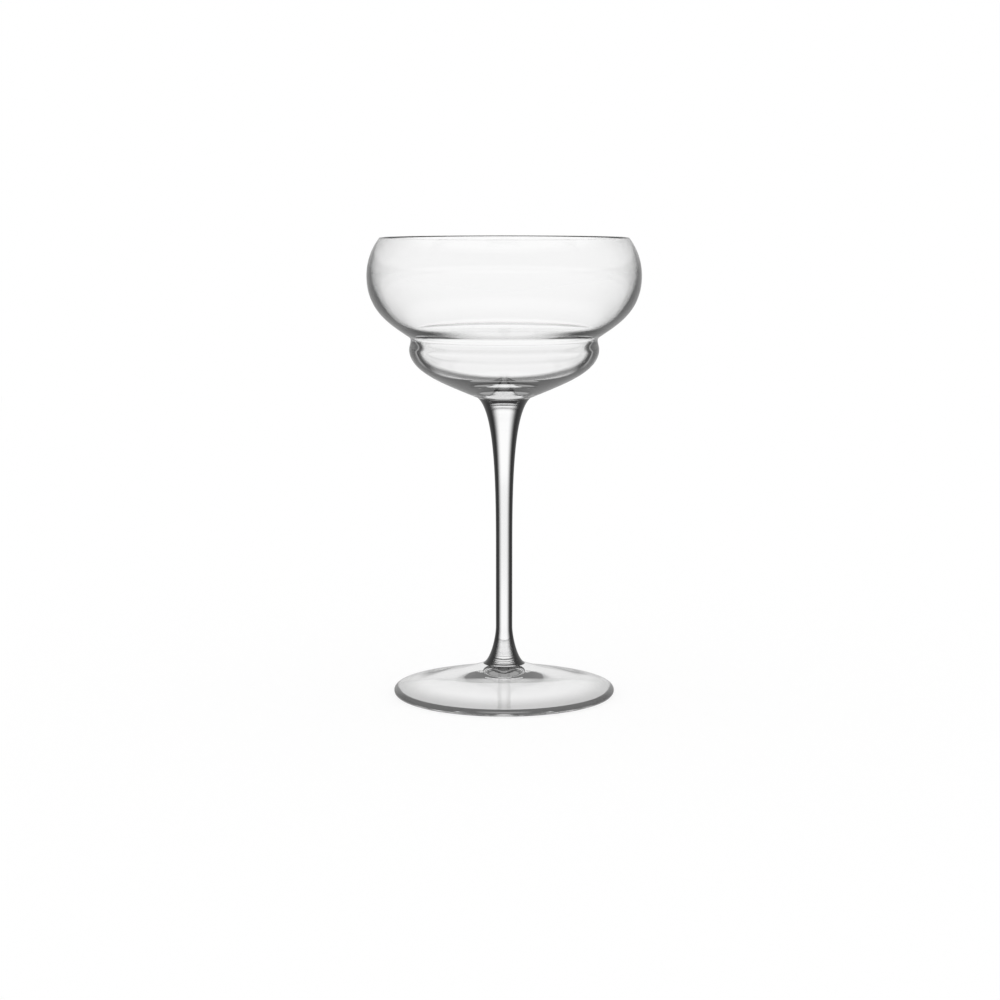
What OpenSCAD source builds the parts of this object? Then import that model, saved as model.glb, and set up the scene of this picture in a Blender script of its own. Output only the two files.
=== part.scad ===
/* [Upper bowl] */
// Widest outer diameter of the bowl
belly_d = 92; // [84:0.1:100]
// Height from the groove up to the widest ring
belly_h = 21.5; // [18:0.1:26]
// Distance by which the round side draws in from the widest ring to the rim
rim_inset = 4.3; // [1:0.1:8]
// Radius of the round side above the widest ring, seen in section
side_r = 20.6; // [19:0.1:24]
// Length over which the side keeps its upright direction below the widest ring
side_pull = 11.6; // [8:0.1:14]
// Glass thickness at the widest ring
belly_wall = 1.3; // [1.2:0.1:2.2]
// Height by which the inner round is raised, which thins the rim
inner_rise = 1.1; // [0.2:0.05:1.5]

/* [Waist] */
// Depth of the groove between the bowl and the cup, in from the cup's widest ring
groove_depth = 0.5; // [0.1:0.1:1.5]
// Radius of the groove
groove_r = 1.4; // [0.5:0.1:2.5]
// Slope of the bowl's underside where it leaves the groove, in degrees
ledge_slope = 34; // [28:1:40]
// Length over which the underside keeps that slope
ledge_pull = 7.6; // [5:0.1:10]
// Glass thickness between the underside and the lip inside
ledge_wall = 2.2; // [1.6:0.1:3]
// Slope of the bowl's inside where it comes down to the lip, in degrees
lip_slope = 28; // [20:1:34]
// Length over which the inside keeps that slope
lip_pull = 5; // [3:0.1:8]
// Radius of the lip, where the bowl drops into the cup
lip_r = 3; // [1.5:0.1:4]

/* [Lower cup] */
// Widest outer diameter of the cup
cup_d = 63.8; // [58:0.1:70]
// Height from the cup's widest ring up to the groove
shoulder_h = 3.1; // [2:0.1:6]
// Height from the seam at the stem up to the cup's widest ring
cup_h = 16.3; // [13:0.1:20]
// Glass thickness at the cup's widest ring
cup_wall = 2.4; // [1.8:0.1:3.4]
// Glass thickness of the cup's floor, above the seam
cup_floor = 4.2; // [3.5:0.1:7]
// Slope of the cup's underside where it meets the seam, in degrees
underside_slope = 23; // [15:1:28]
// Length over which the cup's underside keeps its slope
underside_pull = 12; // [8:0.1:16]
// Length over which the cup's side keeps its upright direction
cup_side_pull = 7.5; // [5:0.1:9]

/* [Stem] */
// Height of the stem between its two seams
stem_h = 91; // [75:0.5:110]
// Diameter of the slim length
neck_d = 5.6; // [4.5:0.1:7]
// Diameter of the seam under the bowl
bowl_seam_d = 17.9; // [12:0.1:22]
// Height of the flare under the bowl
bowl_flare_h = 50.7; // [40:0.1:56]
// Slope of that flare where it leaves the seam, in degrees
bowl_flare_slope = 41; // [30:1:60]
// Length over which the flare keeps the seam's slope
bowl_flare_pull = 7.3; // [4:0.1:8]
// Length over which the flare keeps the neck's direction
neck_pull = 23.7; // [12:0.1:28]
// Diameter of the seam at the foot
foot_seam_d = 14.2; // [10:0.1:18]
// Height of the flare above the foot
foot_flare_h = 12.8; // [8:0.1:18]
// Slope of that flare where it meets the seam, in degrees
foot_flare_slope = 30; // [25:1:60]
// Length over which that flare keeps the seam's slope
foot_flare_pull = 3.2; // [1:0.1:4]

/* [Foot] */
// Diameter of the foot
foot_d = 75.2; // [65:0.1:85]
// Height of the foot up to its seam with the stem
foot_h = 10.3; // [9:0.1:13]
// Glass thickness at the rounded edge
edge_t = 2.5; // [1.6:0.1:3.2]
// Slope of the foot's top at the edge, in degrees
edge_slope = 15; // [10:1:20]
// Slope of the foot's top at the seam, in degrees
crown_slope = 22; // [15:1:28]
// Width of the flat ring that the glass rests on
rest_ring_w = 0.8; // [0.6:0.1:3]
// Glass thickness of the foot on its axis, above the hollow
crown_t = 3.5; // [2.6:0.1:6]
// Slope of the hollow where it leaves the ring, in degrees
hollow_slope = 13; // [8:1:15]
// Length over which the hollow stays level around its middle
hollow_flat = 5.5; // [4:0.5:14]

/* [Hidden] */
$fn = 180;
glass = [0.88, 0.92, 0.93, 0.45];

// Number of straight steps in a long curve and in a small round
curve_steps = 48;
round_steps = 12;

// Heights of the two seams, the cup's widest ring, the groove and the bowl's widest ring
foot_seam_z = foot_h;
bowl_seam_z = foot_seam_z + stem_h;
cup_z = bowl_seam_z + cup_h;
waist_z = cup_z + shoulder_h;
belly_z = waist_z + belly_h;

// Seams and widest rings, as points of the outline
foot_seam = [foot_seam_d / 2, foot_seam_z];
bowl_seam = [bowl_seam_d / 2, bowl_seam_z];
cup_ring = [cup_d / 2, cup_z];
belly_ring = [belly_d / 2, belly_z];

// Round sides of the bowl above the widest ring; the inner one is raised
side_centre = belly_ring - [side_r, 0];
inner_centre = side_centre + [0, inner_rise];
inner_r = side_r - belly_wall;

// Rim: a half round across the wall, square to the outer side
rim_angle = acos(1 - rim_inset / side_r);
rim_reach = inner_rise * sin(rim_angle) + leg(inner_r, inner_rise * cos(rim_angle));
rim_centre = side_centre + (side_r + rim_reach) / 2 * heading(rim_angle);
rim_r = (side_r - rim_reach) / 2;
inner_rim_angle = angle_of(side_centre + rim_reach * heading(rim_angle) - inner_centre);

// Groove: it starts upright and ends along the ledge, the bowl's sloping underside
groove_start = [cup_d / 2 - groove_depth, waist_z];
groove_centre = groove_start + [groove_r, 0];
ledge_angle = 90 + ledge_slope;
ledge_start = groove_centre + groove_r * heading(ledge_angle);

// Lip: its upper end lies one wall above the ledge, its lower end stands on the cup's inner wall
cup_inner_r = cup_d / 2 - cup_wall;
lip_angle = 90 + lip_slope;
lip_x = cup_inner_r + lip_r;
lip_top_x = lip_x + lip_r * cos(lip_angle);
lip_top_z = ledge_start.y + (lip_top_x - ledge_start.x) * tan(ledge_slope) + ledge_wall / cos(ledge_slope);
lip_top = [lip_top_x, lip_top_z];
lip_centre = lip_top - lip_r * heading(lip_angle);

// Cup inside: half an ellipse below the widest ring
cup_inner_h = cup_h - cup_floor;

// Foot's edge: a round whose lowest point is the outer side of the resting ring
edge_r = edge_t / 2;
edge_centre = [foot_d / 2 - edge_r, edge_r];
edge_top = edge_centre + edge_r * heading(90 - edge_slope);
rest_ring_x = edge_centre.x - rest_ring_w;
hollow_top = [0, foot_h - crown_t];

// Length of a right triangle's other leg
function leg(long_side, short_side) = sqrt(long_side ^ 2 - short_side ^ 2);

// Direction of an angle, and the angle of a direction
function heading(angle) = [cos(angle), sin(angle)];
function angle_of(v) = atan2(v.y, v.x);

// Points along a round, without its first point
function round_points(centre, radius, from, to, steps) =
    [for (i = [1:steps]) centre + radius * heading(from + (to - from) * i / steps)];

// Points along a curve that leaves a towards b and comes to d from c, without its first point
function curve_points(a, b, c, d) =
    [for (i = [1:curve_steps]) let (t = i / curve_steps, s = 1 - t)
        s ^ 3 * a + 3 * s ^ 2 * t * b + 3 * s * t ^ 2 * c + t ^ 3 * d];

// Cup's outside, from the seam past the widest ring into the groove
function cup_outside() =
    let (
        underside_end = bowl_seam + underside_pull * heading(underside_slope),
        shoulder_pull = [0, shoulder_h / 3]
    )
    concat(
        curve_points(bowl_seam, underside_end, cup_ring - [0, cup_side_pull], cup_ring),
        curve_points(cup_ring, cup_ring + shoulder_pull, groove_start - shoulder_pull, groove_start),
        round_points(groove_centre, groove_r, 180, ledge_angle, round_steps)
    );

// Bowl's outside, from the groove up to the rim
function bowl_outside() = concat(
    curve_points(
        ledge_start,
        ledge_start + ledge_pull * heading(ledge_slope),
        belly_ring - [0, side_pull],
        belly_ring
    ),
    round_points(side_centre, side_r, 0, rim_angle, curve_steps),
    round_points(rim_centre, rim_r, rim_angle, rim_angle + 180, round_steps)
);

// Bowl's inside, from the rim down over the lip
function bowl_inside() =
    let (inner_ring = inner_centre + [inner_r, 0])
    concat(
        round_points(inner_centre, inner_r, inner_rim_angle, 0, curve_steps),
        curve_points(inner_ring, inner_ring - [0, side_pull], lip_top + lip_pull * heading(lip_slope), lip_top),
        round_points(lip_centre, lip_r, lip_angle, 180, round_steps)
    );

// Cup's inside, from its widest ring down to the middle of the floor
function cup_inside() = [
    for (i = [0:curve_steps]) let (a = 90 * i / curve_steps)
        [cup_inner_r * cos(a), cup_z - cup_inner_h * sin(a)]
];

// Bowl: blown in one piece, an upper bowl that drops into a smaller cup
module bowl() {
    color(glass)
        rotate_extrude()
            polygon(concat(
                [[0, bowl_seam_z], bowl_seam],
                cup_outside(),
                bowl_outside(),
                bowl_inside(),
                cup_inside()
            ));
}

// Stem: a solid rod, flared at both ends
module stem() {
    neck_low = [neck_d / 2, foot_seam_z + foot_flare_h];
    neck_high = [neck_d / 2, bowl_seam_z - bowl_flare_h];
    color(glass)
        rotate_extrude()
            polygon(concat(
                [[0, foot_seam_z], foot_seam],
                curve_points(
                    foot_seam,
                    foot_seam + foot_flare_pull * heading(180 - foot_flare_slope),
                    neck_low - [0, foot_flare_pull],
                    neck_low
                ),
                [neck_high],
                curve_points(
                    neck_high,
                    neck_high + [0, neck_pull],
                    bowl_seam - bowl_flare_pull * heading(bowl_flare_slope),
                    bowl_seam
                ),
                [[0, bowl_seam_z]]
            ));
}

// Foot: a low cone with a rounded edge, hollowed below so that its wall stays nearly even
module foot() {
    ring_start = [rest_ring_x, 0];
    hollow_pull = rest_ring_x / 3;
    top_pull = (edge_top.x - foot_seam.x) / 3;
    color(glass)
        rotate_extrude()
            polygon(concat(
                [hollow_top],
                curve_points(
                    hollow_top,
                    hollow_top + [hollow_flat, 0],
                    ring_start + hollow_pull * heading(180 - hollow_slope),
                    ring_start
                ),
                [[edge_centre.x, 0]],
                round_points(edge_centre, edge_r, -90, 90 - edge_slope, round_steps),
                curve_points(
                    edge_top,
                    edge_top + top_pull * heading(180 - edge_slope),
                    foot_seam + top_pull * heading(-crown_slope),
                    foot_seam
                ),
                [[0, foot_seam_z]]
            ));
}

bowl();
stem();
foot();
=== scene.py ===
import math

import bmesh
import bpy
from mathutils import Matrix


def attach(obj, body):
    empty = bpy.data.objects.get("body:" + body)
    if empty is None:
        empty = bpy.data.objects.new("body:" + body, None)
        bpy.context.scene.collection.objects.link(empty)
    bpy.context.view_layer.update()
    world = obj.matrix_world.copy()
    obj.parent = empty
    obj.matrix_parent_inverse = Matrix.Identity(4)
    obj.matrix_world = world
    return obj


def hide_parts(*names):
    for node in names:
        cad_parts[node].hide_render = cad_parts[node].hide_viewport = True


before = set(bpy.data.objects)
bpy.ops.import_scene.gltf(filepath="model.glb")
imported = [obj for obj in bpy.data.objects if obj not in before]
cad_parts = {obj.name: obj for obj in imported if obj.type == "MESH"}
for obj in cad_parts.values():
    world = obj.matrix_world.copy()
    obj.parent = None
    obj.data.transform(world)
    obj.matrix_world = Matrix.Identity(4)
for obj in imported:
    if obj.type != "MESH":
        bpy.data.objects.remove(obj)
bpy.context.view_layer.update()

# Camera, in metres and degrees: a level head tilted down, the glass a little right of the middle
CAMERA_DISTANCE = 0.7474
CAMERA_HEIGHT = 0.1673
CAMERA_SIDE = -0.0014
CAMERA_TILT = 7.68
LENS_MM = 80.1
SENSOR_MM = 36.0

# Lathe work: steps around the axis, how near the half plane a vertex lies in it, and digits kept of its place
TURN_STEPS = 192
PLANE_TOLERANCE = 1e-6
PLACE_DIGITS = 7

# A pair is where a smooth change starts and ends. Heights and distances from the axis are in metres.
# A facing is 0 where a ray meets a surface squarely and 1 where it only grazes it.
# A shade is the share of light that passes a surface, 1 where it is clear; the glass's shades below are
# painted shade, set in its colour.

# Blend at which a facing is even, and limits for counting how often a ray has been turned
EVEN_BLEND = 0.5
ONE_OR_MORE = 0.5
FIVE_OR_MORE = 4.5

# Colour of the room and of the floor's own light
WHITE = (1, 1, 1, 1)

# Glass, with a faint ripple
GLASS_IOR = 1.5
RIPPLE_SIZE = 0.012
RIPPLE_DEPTH = 0.00002

# Painted shade: the glass's colour darkened towards the edges of each piece's form
EDGE_FACING = {"bowl": (0.80, 1.0), "stem": (0.02, 0.32), "foot": (0.80, 1.0)}
EDGE_PAINTED_SHADE = {"bowl": 0.85, "stem": 0.04, "foot": 0.85}
STEM_LOW_END = (0.05, 0.03)

# Painted shade: the bowl's underside darkened at the waist
WAIST_FROM_TO = (0.1230, 0.1241)
WAIST_TOP = (0.1258, 0.1246)
WAIST_FACING = (0.0, 0.29)
WAIST_UNDERSIDE = (-0.1, -0.5)
WAIST_PAINTED_SHADE = 0.06

# Cup's inside, seen through its glass: a painted dark line along its contour, and beside that on the wall a
# band where the glass glows with painted light
CUP_MIDDLE = (0, 0, 0.118)
CUP_TOP = (0.1225, 0.1205)
CUP_FLOOR_WALL = (0.1125, 0.1150)
WALL_LINE_FACING = (0.213, 0.243)
FLOOR_LINE_FACING = (0.195, 0.235)
INNER_LINE_PAINTED_SHADE = 0.05
TURNED_BACK_FACING = 0.2546
INNER_BAND_FACING = (0.270, 0.258)
INNER_BAND_PAINTED_GLOW = 0.22

# Painted shade: the glass darkened towards the foot's edge
FOOT_EDGE_FROM_TO = (0.027, 0.037)
FOOT_EDGE_FACING = (0.35, 0.60)
FOOT_EDGE_GRAZING = (0.95, 0.80)
FOOT_EDGE_PAINTED_SHADE = 0.60

# Painted glow: light that the glass gives off where a ray has been turned round inside it too often to be
# followed on
TRAPPED_PAINTED_GLOW = {"bowl": 0.25, "stem": 0.30, "foot": 0.12}
PAINTED_GLOW_ROUND_STEM = 0.06
ROUND_STEM = (0.005, 0.009)
PAINTED_GLOW_IN_WALL = 0.02
TRAPPED_FLOOR_WALL = (0.107, 0.111)

# What a ray sees of the room: straight through the glass, mirrored by it, or turned round inside it
ROOM_WHITE = 1.0
ROOM_CEILING = 0.25
CEILING_FROM_TO = (0.34, 0.64)
ROOM_MIRRORED = (0.55, 0.75)
ROOM_INSIDE = (0.04, 0.85)
HIGH_FROM_TO = (0.0, 0.08)

# Floor: its size, its paint and own light, and what a ray sees of it
FLOOR_RADIUS = 1.2
FLOOR_DROP = 0.00005
FLOOR_ALBEDO = 0.25
FLOOR_GLOW = 0.75
FLOOR_MIRRORED = 0.55
FLOOR_THROUGH = (0.98, 0.93)
FLOOR_NEAR_FAR = (0.20, 0.32)
FLOOR_EDGE = (0.50, 1.20)
FLOOR_INSIDE = (0.90, 0.04)
INSIDE_NEAR_FAR = (0.13, 0.22)


def add_node(tree, kind, **sockets):
    """A node of this kind, with values set on its named input sockets."""
    node = tree.nodes.new(kind)
    for name, value in sockets.items():
        node.inputs[name.replace("_", " ")].default_value = value
    return node


def feed(tree, socket, value):
    """Give an input socket a number or another node's output."""
    if isinstance(value, bpy.types.NodeSocket):
        tree.links.new(value, socket)
    else:
        socket.default_value = value


def math_node(tree, operation, a, b=0.0):
    """Output of a Math node; a and b are numbers or sockets."""
    node = tree.nodes.new("ShaderNodeMath")
    node.operation = operation
    feed(tree, node.inputs[0], a)
    feed(tree, node.inputs[1], b)
    return node.outputs[0]


def product(tree, first, *others):
    """Product of sockets and numbers."""
    for other in others:
        first = math_node(tree, "MULTIPLY", first, other)
    return first


def vector_node(tree, operation, a, b=(0, 0, 0), output="Vector"):
    """Output of a Vector Math node; a and b are three numbers or sockets."""
    node = tree.nodes.new("ShaderNodeVectorMath")
    node.operation = operation
    feed(tree, node.inputs[0], a)
    feed(tree, node.inputs[1], b)
    return node.outputs[output]


def between(tree, value, low, high):
    """Smooth step of value from 0 at low to 1 at high."""
    node = add_node(tree, "ShaderNodeMapRange", From_Min=low, From_Max=high)
    node.interpolation_type = "SMOOTHSTEP"
    tree.links.new(value, node.inputs["Value"])
    return node.outputs["Result"]


def mix_values(tree, factor, a, b):
    """a where factor is 0, b where it is 1."""
    node = tree.nodes.new("ShaderNodeMix")
    for place, value in ((0, factor), (2, a), (3, b)):
        feed(tree, node.inputs[place], value)
    return node.outputs[0]


def grey(tree, level):
    """Colour with the same level in each channel."""
    colour = tree.nodes.new("ShaderNodeCombineColor")
    for channel in colour.inputs:
        tree.links.new(level, channel)
    return colour.outputs[0]


def upward(tree, vector):
    """Upright part of a vector."""
    split = tree.nodes.new("ShaderNodeSeparateXYZ")
    tree.links.new(vector, split.inputs[0])
    return split.outputs["Z"]


def place_on_part(tree):
    """Place of a point on the part, in the shared frame."""
    return tree.nodes.new("ShaderNodeTexCoord").outputs["Object"]


def height_on_part(tree):
    """Height of a point on the part above the plane that it rests on."""
    return upward(tree, place_on_part(tree))


def axis_distance(tree):
    """Distance of a point from the glass's axis."""
    level = vector_node(tree, "MULTIPLY", place_on_part(tree), (1, 1, 0))
    return vector_node(tree, "LENGTH", level, output="Value")


def surface(tree, output):
    """One of the surface's own values, such as its normal."""
    return tree.nodes.new("ShaderNodeNewGeometry").outputs[output]


def room_seen(tree, straight, mirrored, inside):
    """Brightness for a ray that comes straight through the glass, mirrored by it or turned inside it."""
    path = tree.nodes.new("ShaderNodeLightPath")
    turned = math_node(tree, "GREATER_THAN", path.outputs["Glossy Depth"], ONE_OR_MORE)
    through = path.outputs["Is Transmission Ray"]
    before = mix_values(tree, through, ROOM_WHITE, straight)
    after = mix_values(tree, through, mirrored, inside)
    lighting = math_node(tree, "GREATER_THAN", path.outputs["Diffuse Depth"], ONE_OR_MORE)
    return mix_values(tree, lighting, mix_values(tree, turned, before, after), ROOM_WHITE)


def make_world():
    """White room; rays that the glass bends upwards or turns round see its darker parts."""
    world = bpy.data.worlds.new("white_room")
    world.use_nodes = True
    tree = world.node_tree
    tree.nodes.clear()
    rise = upward(tree, tree.nodes.new("ShaderNodeTexCoord").outputs["Generated"])
    straight = mix_values(tree, between(tree, rise, *CEILING_FROM_TO), ROOM_WHITE, ROOM_CEILING)
    high = between(tree, rise, *HIGH_FROM_TO)
    mirrored = mix_values(tree, high, *ROOM_MIRRORED)
    inside = mix_values(tree, high, *ROOM_INSIDE)
    background = add_node(tree, "ShaderNodeBackground", Color=WHITE)
    tree.links.new(room_seen(tree, straight, mirrored, inside), background.inputs["Strength"])
    output = tree.nodes.new("ShaderNodeOutputWorld")
    tree.links.new(background.outputs[0], output.inputs["Surface"])
    bpy.context.scene.world = world


def floor_material():
    """White paint that keeps a shadow, with light of its own."""
    material = bpy.data.materials.new("white_floor")
    material.use_nodes = True
    tree = material.node_tree
    tree.nodes.clear()
    distance = axis_distance(tree)
    through = mix_values(tree, between(tree, distance, *FLOOR_NEAR_FAR), *FLOOR_THROUGH)
    straight = mix_values(tree, between(tree, distance, *FLOOR_EDGE), through, ROOM_WHITE)
    inside = mix_values(tree, between(tree, distance, *INSIDE_NEAR_FAR), *FLOOR_INSIDE)
    seen = room_seen(tree, straight, FLOOR_MIRRORED, inside)
    paint = tree.nodes.new("ShaderNodeBsdfDiffuse")
    tree.links.new(grey(tree, product(tree, seen, FLOOR_ALBEDO)), paint.inputs["Color"])
    glow = add_node(tree, "ShaderNodeEmission", Color=WHITE)
    tree.links.new(product(tree, seen, FLOOR_GLOW), glow.inputs["Strength"])
    both = tree.nodes.new("ShaderNodeAddShader")
    tree.links.new(paint.outputs[0], both.inputs[0])
    tree.links.new(glow.outputs[0], both.inputs[1])
    output = tree.nodes.new("ShaderNodeOutputMaterial")
    tree.links.new(both.outputs[0], output.inputs["Surface"])
    return material


def make_floor():
    """Round white floor, just under the glass."""
    mesh = bpy.data.meshes.new("floor")
    shape = bmesh.new()
    bmesh.ops.create_circle(shape, cap_ends=True, segments=TURN_STEPS, radius=FLOOR_RADIUS)
    shape.to_mesh(mesh)
    shape.free()
    mesh.materials.append(floor_material())
    floor = bpy.data.objects.new("floor", mesh)
    floor.location.z = -FLOOR_DROP
    bpy.context.scene.collection.objects.link(floor)


def surface_facing(tree):
    """0 where a ray meets the surface squarely, 1 where it grazes it."""
    return add_node(tree, "ShaderNodeLayerWeight", Blend=EVEN_BLEND).outputs["Facing"]


def across(tree, direction):
    """How squarely a ray meets a direction: 1 along it, 0 at a right angle to it."""
    weight = add_node(tree, "ShaderNodeLayerWeight", Blend=EVEN_BLEND)
    tree.links.new(direction, weight.inputs["Normal"])
    return math_node(tree, "SUBTRACT", 1.0, weight.outputs["Facing"])


def level_normal(tree):
    """The surface's normal turned level, as if the form stood upright there."""
    level = vector_node(tree, "MULTIPLY", surface(tree, "Normal"), (1, 1, 0))
    return vector_node(tree, "NORMALIZE", level)


def side_facing(tree):
    """0 along the middle of an upright round form and 1 along its sides, the same from any height."""
    upright = level_normal(tree)
    straight_on = across(tree, upright)
    sideways = across(tree, vector_node(tree, "CROSS_PRODUCT", upright, (0, 0, 1)))
    squares = [product(tree, part, part) for part in (straight_on, sideways)]
    whole = math_node(tree, "SQRT", math_node(tree, "ADD", *squares))
    return math_node(tree, "SUBTRACT", 1.0, math_node(tree, "DIVIDE", straight_on, whole))


def from_outside(tree):
    """1 where a ray meets the glass from the air, 0 where it leaves the glass."""
    return math_node(tree, "SUBTRACT", 1.0, surface(tree, "Backfacing"))


def painted_edge_shade(tree, node, facing, amount=1.0):
    """Painted shade: the glass's colour darkened towards the edges of a piece's form."""
    edge = product(tree, between(tree, facing, *EDGE_FACING[node]), amount)
    return mix_values(tree, edge, 1.0, EDGE_PAINTED_SHADE[node])


def painted_stem_shade(tree):
    """Painted shade: dark sides where rays enter the stem; those that leave it are dimmed at its low end
    alone.
    """
    entering = painted_edge_shade(tree, "stem", side_facing(tree))
    slant = math_node(tree, "SUBTRACT", 1.0, across(tree, level_normal(tree)))
    low_end = between(tree, height_on_part(tree), *STEM_LOW_END)
    leaving = painted_edge_shade(tree, "stem", slant, low_end)
    return math_node(tree, "POWER", mix_values(tree, from_outside(tree), leaving, entering), 2.0)


def painted_foot_shade(tree):
    """Painted shade: darker towards the foot's edge, where its top is met at a low angle but not a grazing
    one.
    """
    facing = surface_facing(tree)
    outer = between(tree, axis_distance(tree), *FOOT_EDGE_FROM_TO)
    low_angle = between(tree, facing, *FOOT_EDGE_FACING)
    not_grazing = between(tree, facing, *FOOT_EDGE_GRAZING)
    amount = product(tree, outer, from_outside(tree), low_angle, not_grazing)
    return product(tree, painted_edge_shade(tree, "foot", facing), mix_values(tree, amount, 1.0, FOOT_EDGE_PAINTED_SHADE))


def painted_waist_shade(tree):
    """Painted shade around the waist's thick glass, darker towards its sides."""
    height = height_on_part(tree)
    ring = product(tree, between(tree, height, *WAIST_FROM_TO), between(tree, height, *WAIST_TOP))
    underside = between(tree, upward(tree, surface(tree, "Normal")), *WAIST_UNDERSIDE)
    side = between(tree, side_facing(tree), *WAIST_FACING)
    amount = product(tree, ring, from_outside(tree), underside, side)
    return mix_values(tree, amount, 1.0, WAIST_PAINTED_SHADE)


def cup_inside(tree):
    """1 where a ray in the cup's glass comes to the cup's inside, 0 elsewhere."""
    from_middle = vector_node(tree, "SUBTRACT", place_on_part(tree), CUP_MIDDLE)
    outward = vector_node(tree, "DOT_PRODUCT", surface(tree, "Normal"), from_middle, "Value")
    inner = math_node(tree, "GREATER_THAN", outward, 0.0)
    in_cup = between(tree, height_on_part(tree), *CUP_TOP)
    return product(tree, inner, in_cup, surface(tree, "Backfacing"))


def painted_cup_line_shade(tree, facing):
    """Painted shade: a dark line along the contour of the cup's inside, around the stem's end."""
    round_stem = between(tree, axis_distance(tree), *ROUND_STEM)
    floor_line = product(tree, round_stem, between(tree, facing, *FLOOR_LINE_FACING))
    wall_line = between(tree, facing, *WALL_LINE_FACING)
    wall = between(tree, height_on_part(tree), *CUP_FLOOR_WALL)
    line = product(tree, cup_inside(tree), mix_values(tree, wall, floor_line, wall_line))
    return mix_values(tree, line, 1.0, INNER_LINE_PAINTED_SHADE)


def painted_bowl_shade(tree):
    """Painted shade on the bowl at its edges, at the waist and along the cup's inside."""
    facing = surface_facing(tree)
    return product(tree, painted_edge_shade(tree, "bowl", facing), painted_waist_shade(tree), painted_cup_line_shade(tree, facing))


def painted_cup_band_glow(tree):
    """Painted light: the glass glows in a band on the cup's wall, where its inside just turns rays back."""
    facing = surface_facing(tree)
    turned_back = math_node(tree, "GREATER_THAN", facing, TURNED_BACK_FACING)
    band = between(tree, facing, *INNER_BAND_FACING)
    wall = between(tree, height_on_part(tree), *CUP_FLOOR_WALL)
    return product(tree, cup_inside(tree), wall, turned_back, band, INNER_BAND_PAINTED_GLOW)


def trapped_painted_glow(tree, node):
    """Painted glow where rays stay trapped in the glass; the bowl's is strongest over the stem."""
    light = TRAPPED_PAINTED_GLOW[node]
    if node == "bowl":
        round_stem = between(tree, axis_distance(tree), *ROUND_STEM)
        light = mix_values(tree, round_stem, light, PAINTED_GLOW_ROUND_STEM)
        wall = between(tree, height_on_part(tree), *TRAPPED_FLOOR_WALL)
        light = mix_values(tree, wall, light, PAINTED_GLOW_IN_WALL)
    turns = tree.nodes.new("ShaderNodeLightPath").outputs["Glossy Depth"]
    return product(tree, math_node(tree, "GREATER_THAN", turns, FIVE_OR_MORE), light)


def ripple(tree):
    """Normal of a surface with a faint ripple."""
    noise = add_node(tree, "ShaderNodeTexNoise", Scale=1 / RIPPLE_SIZE, Detail=1.0)
    tree.links.new(place_on_part(tree), noise.inputs["Vector"])
    bump = add_node(tree, "ShaderNodeBump", Strength=1.0, Distance=RIPPLE_DEPTH)
    tree.links.new(noise.outputs["Fac"], bump.inputs["Height"])
    return bump.outputs["Normal"]


# Painted shade set in the glass's colour, for each piece
PAINTED_SHADES = {"bowl": painted_bowl_shade, "stem": painted_stem_shade, "foot": painted_foot_shade}


def glass_material(node):
    """Clear glass with a faint ripple, darkened towards the edges of the form by painted shade and given a
    faint painted glow.
    """
    material = bpy.data.materials.new(f"{node}_glass")
    material.use_nodes = True
    tree = material.node_tree
    shader = tree.nodes["Principled BSDF"]
    shader.inputs["Roughness"].default_value = 0.0
    shader.inputs["IOR"].default_value = GLASS_IOR
    shader.inputs["Transmission Weight"].default_value = 1.0
    # The painted shade darkens the glass's colour; the shader takes the root of its colour at each surface,
    # so the shade is squared
    painted_shade_squared = math_node(tree, "POWER", PAINTED_SHADES[node](tree), 2.0)
    tree.links.new(grey(tree, painted_shade_squared), shader.inputs["Base Color"])
    # Painted glow: the glass gives off a little light of its own where rays stay trapped, and in a band on
    # the cup's wall
    light = trapped_painted_glow(tree, node)
    if node == "bowl":
        light = math_node(tree, "MAXIMUM", light, painted_cup_band_glow(tree))
    tree.links.new(light, shader.inputs["Emission Strength"])
    tree.links.new(ripple(tree), shader.inputs["Normal"])
    return material


def seam_material():
    """Fused seam: the two faces have melted together, so light passes straight through."""
    material = bpy.data.materials.new("fused_seam")
    material.use_nodes = True
    material.node_tree.nodes["Principled BSDF"].inputs["Alpha"].default_value = 0.0
    return material


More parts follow.
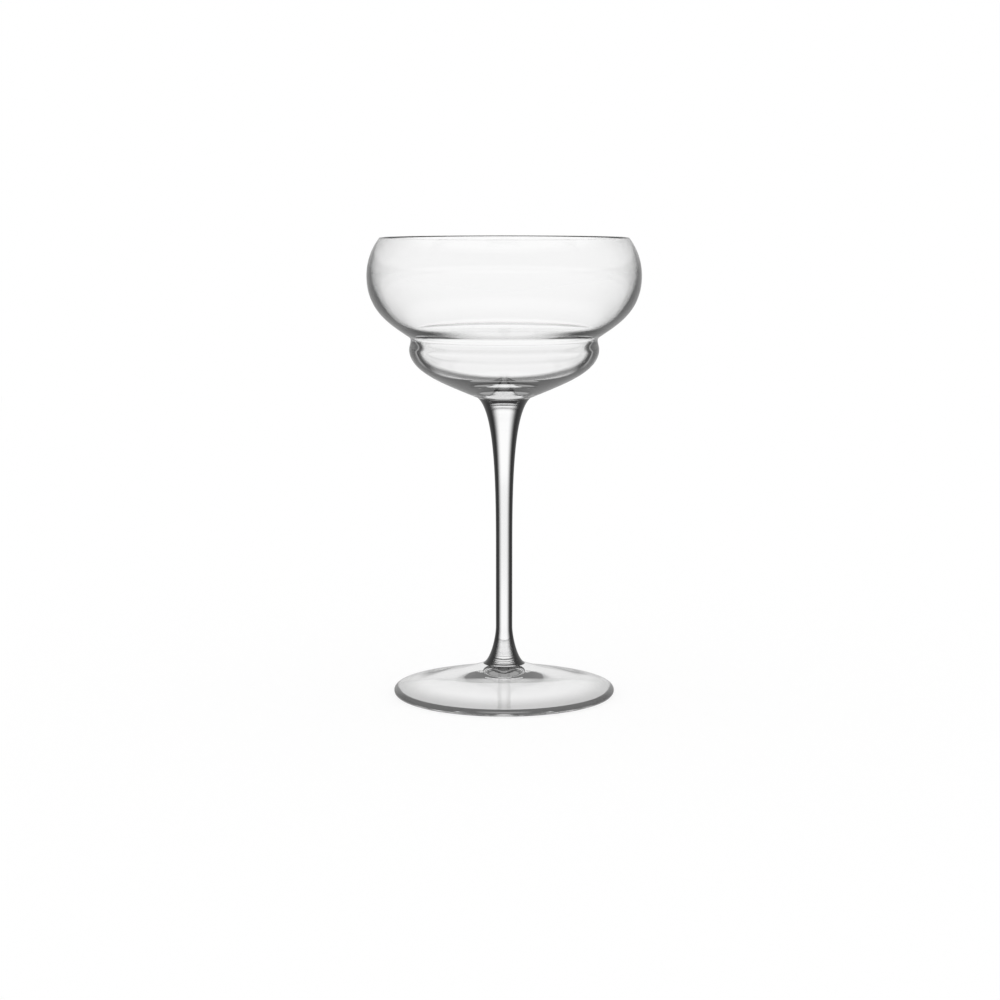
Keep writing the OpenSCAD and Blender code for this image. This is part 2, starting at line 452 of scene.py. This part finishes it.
def outline_of(node):
    """Outline of a round CAD node as (radius, height) points in the half plane y = 0, closed to the axis."""
    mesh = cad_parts[node].data
    spot = {}
    for vertex in mesh.vertices:
        x, y, z = vertex.co
        if abs(y) < PLANE_TOLERANCE and x > -PLANE_TOLERANCE:
            spot[vertex.index] = (round(max(x, 0.0), PLACE_DIGITS), round(z, PLACE_DIGITS))
    joined = {}
    for edge in mesh.edges:
        a, b = (spot.get(index) for index in edge.vertices)
        if a and b and a != b:
            joined.setdefault(a, set()).add(b)
            joined.setdefault(b, set()).add(a)
    ends = [point for point, others in joined.items() if len(others) == 1]
    walk = [min(ends, key=lambda point: point[1])]
    onward = joined[walk[0]]
    while onward:
        walk.append(min(onward))
        onward = joined[walk[-1]] - set(walk[-2:])
    if walk[0][0] > 0:
        walk.insert(0, (0.0, walk[0][1]))
    if walk[-1][0] > 0:
        walk.append((0.0, walk[-1][1]))
    return walk


def turned_mesh(name, outline):
    """Smooth mesh turned from an outline about the axis; flat discs on the axis get the second material."""
    shape = bmesh.new()
    rings = []
    for radius, height in outline:
        steps = TURN_STEPS if radius > 0 else 1
        turns = [2 * math.pi * step / steps for step in range(steps)]
        rings.append([shape.verts.new((radius * math.cos(t), radius * math.sin(t), height)) for t in turns])
    for inner, outer in zip(rings, rings[1:]):
        flat_disc = inner[0].co.z == outer[0].co.z and 1 in (len(inner), len(outer))
        for step in range(TURN_STEPS):
            following = step + 1
            corners = (
                inner[step % len(inner)],
                outer[step % len(outer)],
                outer[following % len(outer)],
                inner[following % len(inner)],
            )
            face = shape.faces.new(dict.fromkeys(corners))
            face.smooth = not flat_disc
            face.material_index = int(flat_disc)
    bmesh.ops.recalc_face_normals(shape, faces=shape.faces)
    for edge in shape.edges:
        edge.smooth = len({face.material_index for face in edge.link_faces}) == 1
    mesh = bpy.data.meshes.new(name)
    shape.to_mesh(mesh)
    shape.free()
    return mesh


def make_piece(node, *materials):
    """Piece that stands for a round CAD node, with the node's own outline."""
    mesh = turned_mesh(node, outline_of(node))
    for material in materials:
        mesh.materials.append(material)
    piece = bpy.data.objects.new(f"{node}_glass", mesh)
    bpy.context.scene.collection.objects.link(piece)
    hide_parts(node)
    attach(piece, "root")


def make_camera():
    """Camera at the photograph's angle."""
    data = bpy.data.cameras.new("camera")
    data.lens = LENS_MM
    data.sensor_width = SENSOR_MM
    camera = bpy.data.objects.new("camera", data)
    camera.location = (CAMERA_SIDE, -CAMERA_DISTANCE, CAMERA_HEIGHT)
    camera.rotation_euler = (math.radians(90 - CAMERA_TILT), 0, 0)
    bpy.context.scene.collection.objects.link(camera)
    bpy.context.scene.camera = camera


bpy.context.scene.view_settings.view_transform = "Standard"
make_camera()
make_world()
make_floor()
seam = seam_material()
for name in PAINTED_SHADES:
    make_piece(name, glass_material(name), seam)
